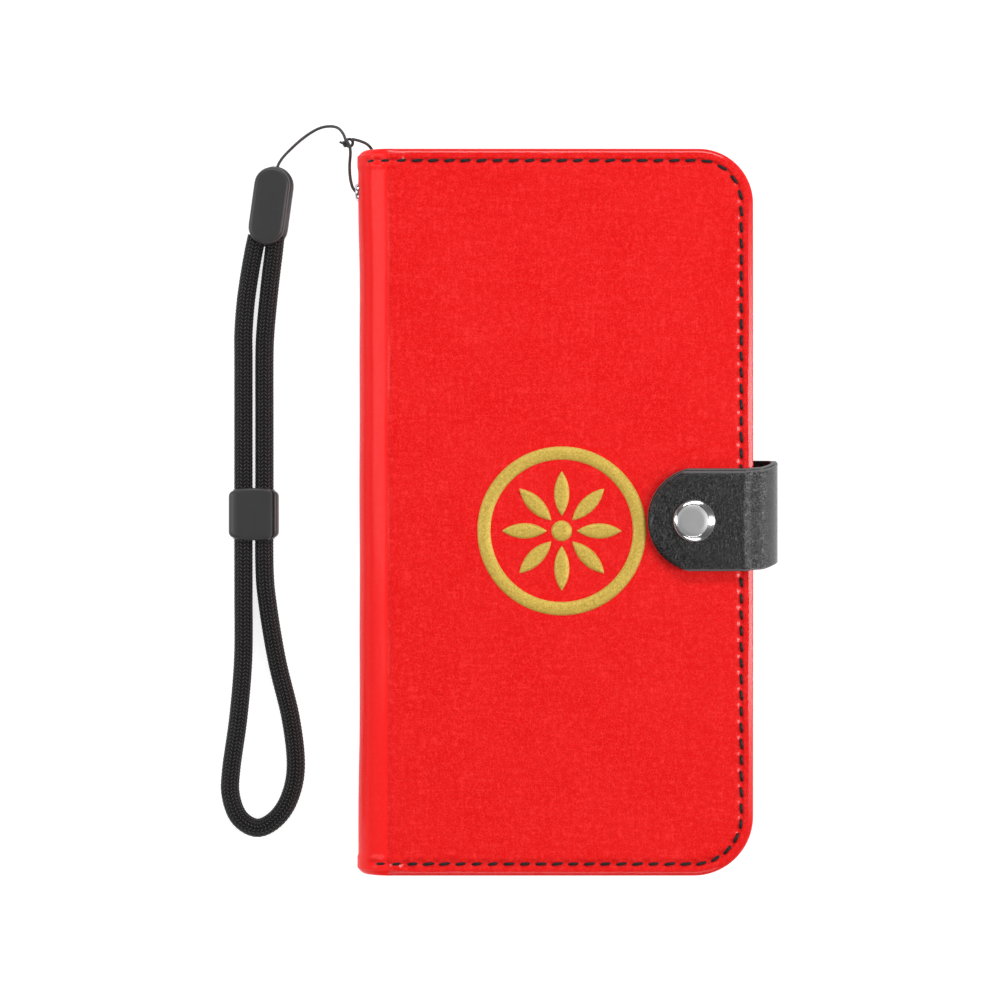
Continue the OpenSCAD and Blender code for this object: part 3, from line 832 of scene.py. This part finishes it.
def window_cutter():
    """A rounded square post through the back cover at the camera window."""
    boxes = frame["record"]["physics"]["openings"]
    low, high = next(o["box_m"] for o in boxes if o["name"] == "camera_window")
    centre = (np.array(low) + np.array(high)) / 2 / MM
    # half its side, its corners' radius and their steps
    half, r, steps = 19.0, 8.0, 8
    corners = []
    for quarter, (sx, sy) in enumerate(((1, 1), (-1, 1), (-1, -1), (1, -1))):
        for k in range(steps + 1):
            a = math.pi / 2 * (quarter + k / steps)
            x = centre[0] + sx * (half - r) + r * math.cos(a)
            corners.append((x, centre[1] + sy * (half - r) + r * math.sin(a)))
    top = box_mm("phone_tray")[0][2] + 0.5
    rings = [np.array([(x, y, z) for x, y in corners]) for z in (-2.0, top)]
    return loft("window_cutter", rings, [])


def eyelet_cutter():
    """A rod along X through the spine at the eyelet."""
    low, high = box_mm("eyelet")
    y, z = (low[1] + high[1]) / 2, (low[2] + high[2]) / 2
    turns = np.linspace(0, 2 * math.pi, 33)[:-1]
    rings = [
        np.array([(x, y + 1.5 * math.cos(a), z + 1.5 * math.sin(a)) for a in turns])
        for x in (SIDE_X - 3, SIDE_X + 4)
    ]
    return loft("eyelet_cutter", rings, [])


def make_eyelet(metal):
    """The eyelet's domed flange, on an axis along X."""
    low, high = box_mm("eyelet")
    centre, r = (low[1] + high[1]) / 2, (high[1] - low[1]) / 2
    profile = [
        (1.1, 1.2), (1.1, -0.3), (1.25, -0.55), (1.5, -0.68), (1.8, -0.62), (r - 0.1, -0.4),
        (r, -0.1), (r - 0.1, 0.4), (1.4, 0.5), (1.4, 1.2), (1.1, 1.2),
    ]
    points, faces = lathe_points(profile, (0, 0), 48)
    middle = (low[2] + high[2]) / 2
    turned = [(SIDE_X + z, centre + x, middle + y) for x, y, z in points]
    eyelet = mesh_object("eyelet_flange", turned, faces, [metal], sharp=60)
    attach(eyelet, "spine")
    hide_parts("eyelet")


def blend_cover(piece, back):
    """Bakes a cover piece's transform into its points, the same way for either cover."""
    if back:
        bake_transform(piece)
    else:
        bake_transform(piece)


def make_covers():
    """Leather, linings and stitches of both covers and the spine."""
    panel = cover_leather(
        "red_leather", (0.89, 0.003, 0.0028), (0.72, 0.001, 0.001), (1.0, 0.034, 0.032), 0.045, 0.5
    )
    # the spine's copy of the red leather is smoother and less glossy, and its colour is painted lighter
    # to stand in for the light that falls on its round
    spine = cover_leather(
        "spine_leather", (1.0, 0.012, 0.011), (0.97, 0.009, 0.008), (1.0, 0.02, 0.019), 0.008, 0.1
    )
    lining = lining_leather(
        "lining_leather", flat_mm, 0.05, (0.17, 0.006, 0.008), (0.25, 0.011, 0.013), 0.5
    )
    thread = thread_material()
    for back, side in ((False, "front"), (True, "back")):
        leather = cover_leather_mesh(f"{side}_leather", [panel, spine], back)
        inside = lining_mesh(f"{side}_lining_sheet", lining, back)
        stitches = stitch_mesh(f"{side}_threads", thread, back)
        for piece in (leather, inside):
            cut(piece, eyelet_cutter())
            if back:
                cut(piece, window_cutter())
        for piece in (leather, inside, stitches):
            blend_cover(piece, back)
        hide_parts(f"{side}_cover_skin", "spine_skin")
        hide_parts(f"{side}_lining", "spine_lining")
        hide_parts(f"{side}_stitching")


# ---- Emblem ----


def make_emblem(gold):
    """A ring round a rosette of eight crowned petals and a hub."""
    low, high = box_mm("emblem")
    centre, base = (low[:2] + high[:2]) / 2, CASE_T - 0.15
    r = (high[0] - low[0]) / 2
    inner, top = r - 3.2, high[2] + 0.2
    middle = (r + inner) / 2
    profile = [
        (inner, base), (inner + 0.1, base + 0.25), (inner + 0.5, top - 0.06), (middle, top),
        (r - 0.5, top - 0.06), (r - 0.1, base + 0.25), (r, base), (inner, base),
    ]
    points, faces = lathe_points(profile, centre, 128)
    hub = [
        (0, top + 0.1), (1.1, top + 0.02), (2.0, top - 0.12), (2.4, base + 0.15), (2.4, base), (0, base),
    ]
    more, more_faces = lathe_points(hub, centre, 48)
    faces += [tuple(i + len(points) for i in f) for f in more_faces]
    points += more
    # each petal lies between two arcs, with its middle at out from the hub's
    petals, arc_r, shift, out = 8, 8.4, 6.6, 8.6
    half_length = math.sqrt(arc_r**2 - shift**2)
    for petal in range(petals):
        turn = 2 * math.pi * petal / petals
        start, rows, columns = len(points), 17, 9
        for level in (1, 0):
            for t in np.linspace(-0.985, 0.985, rows) * half_length:
                width = math.sqrt(arc_r**2 - t * t) - shift
                for v in np.linspace(-1, 1, columns):
                    crown = max(1 - v * v, 0) ** 0.35 * min(width / 0.5, 1)
                    z = base + level * (0.12 + (top - base - 0.12) * crown)
                    x, y = turned_by(turn, out + t, v * width)
                    points.append((centre[0] + x, centre[1] + y, z))
        count = rows * columns
        faces += grid_faces(rows, columns, start) + grid_faces(rows, columns, start + count)
        faces += wall_faces([start + i for i in border(rows, columns)], count)
    emblem = mesh_object("emblem_gold", points, faces, [gold], sharp=55)
    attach(emblem, "front_cover")
    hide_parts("emblem")


# ---- Closure strap ----


# Length in mm of each stretch of the strap's bends, and tilt in degrees at its end, from flat to upright
TOP_BEND = ((0.6, 20), (1.3, 29), (0.4, 10), (2.2, 13), (2.0, 45), (8.6, 90))
TAB_BEND = ((9.4, 90), (3.3, 90))


def strap_bend(stretches, drop):
    """(outward, downward, tilt) steps of a bend, grown so that it comes down by drop."""
    tilt, step, angle = [], [], 0
    for length, turned in stretches:
        count = round(length / 0.3)
        tilt += list(np.radians(np.linspace(angle, turned, count + 1)[1:]))
        step += [length / count] * count
        angle = turned
    tilt = np.array(tilt)
    out, down = np.cumsum(step * np.cos(tilt)), np.cumsum(step * np.sin(tilt))
    grown = drop / down[-1]
    return out * grown, down * grown, tilt


def strap_path(depth, top_half):
    """(x, z) points along half the strap's round, depth below its outer face."""
    right, low, high = STRAP_HIGH[0], STRAP_LOW[2], STRAP_HIGH[2]
    out, down, tilt = strap_bend(TOP_BEND if top_half else TAB_BEND, (high - low) / 2)
    start = right - out[-1]
    bend = np.stack([start + out - depth * np.sin(tilt), down + depth * np.cos(tilt)], axis=1)
    if top_half:
        flat = np.linspace(start, TIP_X, 64)
        line = np.concatenate([bend[::-1], np.stack([flat, np.full(64, depth)], axis=1)])
        line[:, 1] = high - line[:, 1]
        return line
    flat = np.linspace(TAB_X, start, 14)
    line = np.concatenate([np.stack([flat, np.full(14, depth)], axis=1), bend])
    line[:, 1] += low
    return line


def strap_surface(depth, top_half, grow):
    """Grid of points of one face of the strap; grow widens it slightly at the cut edge."""
    line = strap_path(depth, top_half)
    width = STRAP_HIGH[1] - STRAP_LOW[1]
    centre_y = (STRAP_HIGH[1] + STRAP_LOW[1]) / 2
    across = np.sin(np.linspace(-math.pi / 2, math.pi / 2, 33))
    # length over which the tip's round fades out
    taper = 26.0
    grid = np.zeros((len(line), len(across), 3))
    for i, v in enumerate(across):
        y = v * (width / 2 + grow)
        back = STRAP_TIP_R - math.sqrt(STRAP_TIP_R**2 - min(abs(y), STRAP_TIP_R) ** 2)
        x, z = line[:, 0].copy(), line[:, 1].copy()
        if top_half:
            reach = smooth((TIP_X + taper - x) / taper)
            x = np.where(z > STRAP_HIGH[2] - 2, x + reach * (back - grow), x)
        # the strap leans up the case from its flap to its tab
        share = np.clip((STRAP_HIGH[2] - z) / (STRAP_HIGH[2] - STRAP_LOW[2]), 0, 1)
        lean = STRAP_SKEW * (1 - (1 - share) ** 2)
        rounding = 0.28 * max((abs(v) - 0.93) / 0.07, 0) ** 2
        grid[:, i] = np.stack([x, centre_y + y + lean, z], axis=-1)
        if depth == 0:
            grid[:, i] = lower_edge(grid[:, i], rounding, top_half)
    return grid


def lower_edge(points, rounding, top_half):
    """Rounds the outer face down at its long edges and at the tip."""
    moved = points.copy()
    if not top_half:
        moved[:, 2] += rounding * (points[:, 2] < STRAP_LOW[2] + 2)
        return moved
    flat_run = points[:, 2] > STRAP_HIGH[2] - 0.5
    from_tip = np.clip((points[:, 0] - points[-1, 0]) / 1.1, 0, 1)
    tip = 0.4 * (1 - from_tip) ** 2
    moved[:, 2] -= np.where(flat_run, np.maximum(rounding, tip), 0)
    return moved


def strap_piece(name, ply, top_half, materials):
    """One half of one ply: 0 is the outer one, and 1 the lining, whose cut edge shows round the tip."""
    near = ply * STRAP_PLY
    grow = 0.4 * ply if top_half else 0.0
    upper = strap_surface(near, top_half, grow)
    lower = strap_surface(near + STRAP_PLY - 0.02, top_half, grow)
    middle = upper[:, upper.shape[1] // 2]
    step = np.linalg.norm(np.diff(middle, axis=0), axis=-1)
    along = np.concatenate([[0], np.cumsum(step)])
    flat = np.zeros((*upper.shape[:2], 2))
    flat[..., 0] = along[:, None] + (90 if top_half else 0)
    flat[..., 1] = upper[..., 1]
    return slab(name, upper, lower, materials, flat, edge_kind=1, edge_columns=2)


def make_strap():
    """Both plies of the strap, each in a lower and an upper half that meet in the upright run."""
    materials = [strap_leather(), cut_edge()]
    for ply, label in ((0, "outer"), (1, "lining")):
        lower = strap_piece(f"strap_{label}_low", ply, False, materials)
        upper = strap_piece(f"strap_{label}_top", ply, True, materials)
        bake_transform(lower)
        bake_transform(upper)
        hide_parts(f"strap_{label}_tab")
        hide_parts(f"strap_{label}_web", f"strap_{label}_flap")


def make_cap(satin, polished):
    """The snap's cap: a flat face inside a polished, rounded rim."""
    centre = (CAP_LOW[:2] + CAP_HIGH[:2]) / 2
    r = (CAP_HIGH[0] - CAP_LOW[0]) / 2
    top, foot = CAP_HIGH[2], STRAP_HIGH[2] - 0.1
    profile = [(0, top - 0.05), (2.4, top - 0.05), (3.55, top - 0.05), (3.62, top - 0.1), (3.75, top)]
    reach, drop, step = 3.75, 0.0, 0.17
    for tilt in map(math.radians, (20, 24, 26, 28, 30, 33, 45, 62, 80)):
        reach += step * math.cos(tilt)
        drop += step * math.sin(tilt)
        profile.append((min(reach, r), top - drop))
    profile += [(r - 0.1, foot), (0, foot)]
    points, faces = lathe_points(profile, centre, 96)
    radii = [math.dist(p[:2], centre) for p in points]
    kinds = [int(max(radii[i] for i in face) > 3.7) for face in faces]
    # the flat face sits a little to the left in the rim
    points = [(x - 0.35 * float(smooth(4.9 - far)), y, z) for (x, y, z), far in zip(points, radii)]
    cap = mesh_object("snap_cap_dome", points, faces, [satin, polished], kinds=kinds, sharp=60)
    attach(cap, "strap_flap")
    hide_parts("snap_cap")


# ---- Wrist strap ----


def smooth_path(route, spacing):
    """Evenly spaced points of a Catmull-Rom curve through a route, in the model's frame."""
    p = np.array(route, float) + (CASE_CX, 0, 0)
    ends = [2 * p[0] - p[1], *p, 2 * p[-1] - p[-2]]
    line = []
    for a, b, c, d in zip(ends, ends[1:], ends[2:], ends[3:]):
        for t in np.linspace(0, 1, 40, endpoint=False):
            curve = 2 * b + (c - a) * t + (2 * a - 5 * b + 4 * c - d) * t**2
            line.append(0.5 * (curve + (3 * b - a - 3 * c + d) * t**3))
    line = np.array([*line, p[-1]])
    length = np.concatenate([[0], np.cumsum(np.linalg.norm(np.diff(line, axis=0), axis=1))])
    wanted = np.linspace(0, length[-1], max(int(length[-1] / spacing), 8) + 1)
    return np.stack([np.interp(wanted, length, line[:, k]) for k in range(3)], axis=1), wanted


def braid(along, turn):
    """How far each point of a ring stands up in the braid, 0 to 1."""
    columns = turn * BRAID_COLUMNS
    lean = 1 - np.abs(columns % 2 - 1)
    strand = np.sin(math.pi * (along / BRAID_ROW + lean)) ** 2
    groove = np.sin(math.pi * columns) ** 2
    return np.minimum(0.3 + strand, 0.5 + groove) / 1.3


def tube(name, route, diameter, sides, spacing, material, braided=False):
    """A round cord along a route, with a braid's strands raised where it is braided."""
    path, along = smooth_path(route, spacing)
    tangent = np.gradient(path, axis=0)
    tangent /= np.linalg.norm(tangent, axis=1)[:, None]
    side = np.cross(tangent[0], (0, 0, 1))
    turn = np.arange(sides) / sides
    angle = 2 * math.pi * turn
    points, flat = [], []
    for p, t, s in zip(path, tangent, along):
        side = side - t * (side @ t)
        side /= np.linalg.norm(side)
        up = np.cross(side, t)
        radius = np.full(sides, diameter / 2)
        if braided:
            radius -= BRAID_D * (1 - braid(s, turn))
        ring = np.cos(angle)[:, None] * side + np.sin(angle)[:, None] * up
        points.append(p + radius[:, None] * ring)
        flat.append(np.stack([np.full(sides, s), turn * math.pi * diameter], axis=1))
    faces = tube_faces(len(points), sides)
    cord = mesh_object(name, np.concatenate(points), faces, [material], np.concatenate(flat), sharp=80)
    close_round(cord, len(faces) - 2, math.pi * diameter / UV_SPAN)
    return cord, path * MM


def close_round(cord, quads, once):
    """Carries the surface coordinates of a tube's last strip on past one turn, instead of back to 0."""
    layer = cord.data.uv_layers["flat"]
    uv = np.zeros(2 * len(cord.data.loops))
    layer.data.foreach_get("uv", uv)
    turned = uv[: 8 * quads].reshape(quads, 4, 2)[..., 1]
    turned[turned < turned.max(axis=1, keepdims=True) - once / 2] += once
    layer.data.foreach_set("uv", uv)


def stadium(centre, width, length, z, tilt, inset):
    """Ring of points round a stadium shape, turned by tilt degrees."""
    r = width / 2 - inset
    straight = (length - width) / 2
    ring = []
    for way, start in ((1, 0), (-1, math.pi)):
        for a in np.linspace(0, math.pi, 17):
            x, y = r * math.cos(a + start), r * math.sin(a + start) + way * straight
            x, y = turned_by(math.radians(tilt), x, y)
            ring.append((centre[0] + x, centre[1] + y, z))
    return np.array(ring)


def make_clip(plastic):
    """Two rounded shells that meet in a fine groove."""
    centre, seam = (CASE_CX - 66.1, 71.3), 3.2
    width, length, tilt = 9.0, 18.9, -7.8
    # inset from the outline and height off the seam
    steps = [
        (0.22, 0.02), (0.0, 0.2), (0.0, 2.3), (0.1, 2.7),
        (0.32, 2.98), (0.6, 3.12), (0.9, 3.17), (2.6, 3.2),
    ]
    pieces = []
    for way, label in ((1, "front"), (-1, "back")):
        # the front shell is smaller and sits to the left, which shows the back one's edge on the right
        narrow = 0.35 if way > 0 else 0.0
        place = (centre[0] - narrow, centre[1])
        rings = [
            stadium(place, width, length, seam + way * z, tilt, inset + narrow) for inset, z in steps
        ]
        shell = loft(f"clip_{label}_shell", rings, [plastic])
        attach(shell, "wrist_strap")
        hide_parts(f"clip_{label}")
        pieces.append(shell)
    return pieces


def make_slider(plastic):
    """A rounded block with a slot for both limbs of the cord."""
    low, high = box_mm("cord_slider")
    centre, half = (low + high) / 2, (high - low) / 2
    edge, corner, squared = 0.7, 1.5, 0.36
    slot_z, slot_r, gap = 2.85, 2.4, 2.45
    count = 160
    angles = 2 * math.pi * (np.arange(count) + 0.5) / count
    cos, sin = np.cos(angles), np.sin(angles)
    q = np.sin(np.linspace(-math.pi / 2, math.pi / 2, 25))
    rings_out, rings_in = [], []
    for y in q * half[1]:
        near_end, near_corner = (max((abs(y) - (half[1] - r)) / r, 0) for r in (edge, corner))
        lower = edge * (1 - math.sqrt(max(1 - min(near_end, 1) ** 2, 0)))
        inset = corner * (1 - math.sqrt(max(1 - min(near_corner, 1) ** 2, 0)))
        w, h_top, h_low = half[0] - inset, high[2] - centre[2] - 0.8 * lower, centre[2] - 0.3 * lower
        across = np.sign(cos) * np.abs(cos) ** squared
        z = centre[2] + np.where(sin > 0, h_top, h_low) * np.sign(sin) * np.abs(sin) ** squared
        # the front shell ends in a groove short of the right side, where the back shell stands lower
        z -= np.where(sin > 0, 0.55 * smooth((across - 0.74) / 0.05), 0)
        z -= np.where(sin > 0, 0.3 * np.exp(-(((across - 0.8) / 0.03) ** 2)), 0)
        arched = y * (1 - 0.1 * across**2)
        rings_out.append(np.stack([centre[0] + w * across, centre[1] + arched, z], axis=1))
        x_in = np.sign(cos) * gap + slot_r * cos
        y_in = y * (1 - 0.1 * (x_in / half[0]) ** 2)
        rings_in.append(np.stack([centre[0] + x_in, centre[1] + y_in, slot_z + slot_r * sin], axis=1))
    rows, inner = len(rings_out), len(rings_out) * count
    faces = tube_faces(rows, count)[:-2] + tube_faces(rows, count, inner)[:-2]
    for first in (0, inner - count):
        faces += wall_faces(list(range(first, first + count)), inner)
    slider = mesh_object("cord_slider_block", np.concatenate(rings_out + rings_in), faces, [plastic])
    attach(slider, "slider")
    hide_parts("cord_slider")
    return slider


def make_knot(material):
    """A small overhand knot of the thin cord at the hitch, with its short stub."""
    centre = np.array(LEASH_ROUTE[-1])
    route = []
    for t in np.linspace(0, 2 * math.pi, 25):
        x = math.sin(t) + 2 * math.sin(2 * t)
        y = math.cos(t) - 2 * math.cos(2 * t)
        route.append(tuple(centre + 0.2 * np.array([x, y, -1.5 * math.sin(3 * t)])))
    route.append(tuple(centre + (-1.3, 0.4, 0.3)))
    knot, _ = tube("leash_knot", route, 0.6, 8, 0.15, material)
    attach(knot, "wrist_strap")
    return knot


def make_wrist_strap():
    """Clip, slider, braided loop, thin cord, its knot and the loop through the eyelet."""
    plastic = moulded_plastic("clip_plastic", (0.026, 0.026, 0.0275), 0.42)
    shells, slider = make_clip(plastic), make_slider(plastic)
    thin = thin_cord_material()
    knot = make_knot(thin)
    cord, path = tube("wrist_cord_braid", WRIST_ROUTE, CORD_D, 48, 0.21, braid_material(), braided=True)
    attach(cord, "wrist_strap")
    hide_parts("wrist_cord")
    leash, path = tube("leash_thread", LEASH_ROUTE, LEASH_D, 12, 0.2, thin)
    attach(leash, "wrist_strap")
    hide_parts("leash_cord")
    hitch, path = tube("hitch_thread", HITCH_ROUTE, LEASH_D, 12, 0.2, thin)
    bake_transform(hitch)
    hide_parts("hitch_loop")


# ---- CAD nodes that stay ----


def dress(node, material, width):
    """Gives a CAD node its material and slightly rounded edges."""
    piece = frame["nodes"][node]
    piece.data.materials.clear()
    piece.data.materials.append(material)
    modifier = piece.modifiers.new("edges", "BEVEL")
    modifier.width = width * MM
    modifier.segments = 2
    modifier.limit_method = "ANGLE"
    modifier.angle_limit = math.radians(40)


def dress_nodes(metal):
    """Materials for the CAD nodes that are drawn as they are, and the eyelet beside its washer."""
    chrome = plated_metal("eyelet_metal", (0.72, 0.72, 0.74), 0.12, 0.24, 0.4)
    board = grey_board()
    # the CAD pockets carry no surface coordinates
    pocket = lining_leather(
        "pocket_leather", object_mm, 0.06, (0.18, 0.006, 0.008), (0.26, 0.012, 0.014), 0.48
    )
    tray = moulded_plastic("tray_plastic", (0.03, 0.03, 0.033), 0.5)
    dress("phone_tray", tray, 0.15)
    for node in ("front_board", "back_board"):
        dress(node, board, 0.1)
    for node in ("cash_pocket", "card_pocket_1", "card_pocket_2", "card_pocket_3"):
        dress(node, pocket, 0.08)
    for node in ("snap_stud", "snap_post", "snap_socket"):
        dress(node, metal, 0.08)
    dress("eyelet_washer", chrome, 0.1)
    make_eyelet(chrome)


def main():
    """Builds the whole scene."""
    make_camera()
    make_light()
    make_floor()
    make_wrist_strap()
    make_covers()
    satin = plated_metal("snap_metal_satin", (0.48, 0.48, 0.48), 0.46, 0.54, 0.3)
    polished = plated_metal("snap_metal", (0.75, 0.75, 0.76), 0.12, 0.2, 0.3)
    make_emblem(gold_foil())
    make_strap()
    make_cap(satin, polished)
    dress_nodes(polished)


main()
